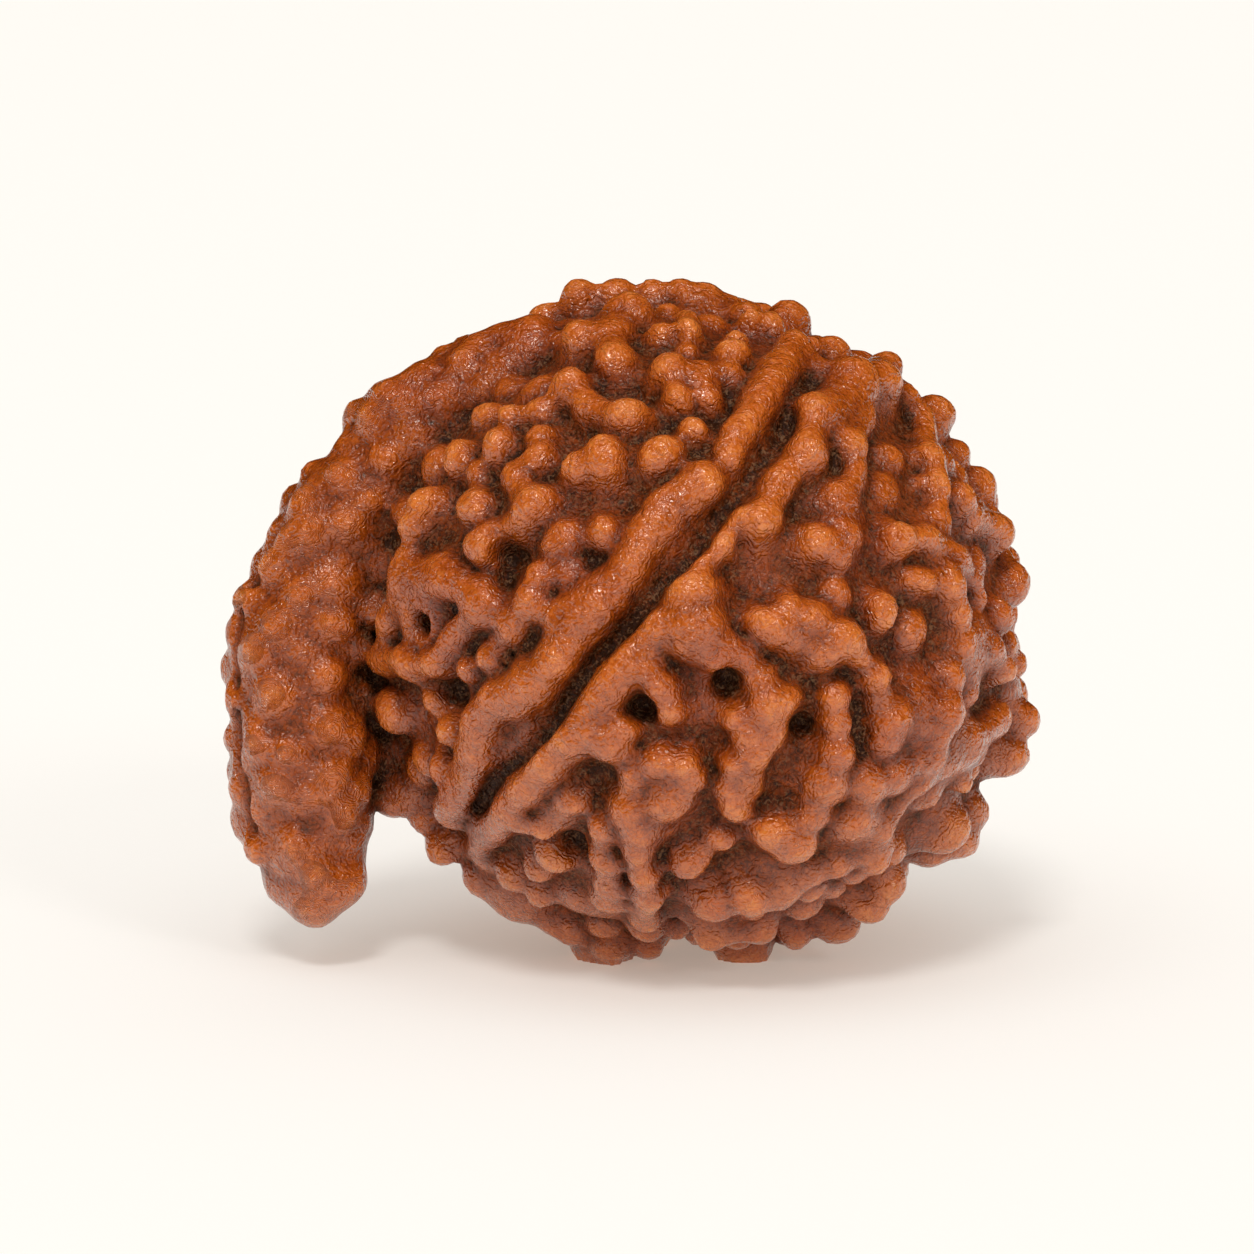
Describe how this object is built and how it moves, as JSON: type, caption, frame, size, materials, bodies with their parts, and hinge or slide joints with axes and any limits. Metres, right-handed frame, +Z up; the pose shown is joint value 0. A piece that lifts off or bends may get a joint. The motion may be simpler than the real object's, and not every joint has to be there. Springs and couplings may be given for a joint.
{
  "type": "rudraksha seed",
  "caption": "Warty round seed stone with rope-like ridges, a straight seam between raised lips, and a trunk-like horn with a free tip down its side.",
  "frame": {"origin": "centre of the bounding box, on the floor the seed rests on", "axes": "+X to the right as seen in the picture, with the horn on the -X side; +Y away from the camera; +Z up"},
  "size_m": [0.0241, 0.0211, 0.02],
  "materials": {
    "seed_wood": "waxy satin, orange-brown warts with dark grey-brown crevices"
  },
  "bodies": {
    "root": {"rudraksha_stone": "seed_wood"}
  },
  "joints": []
}
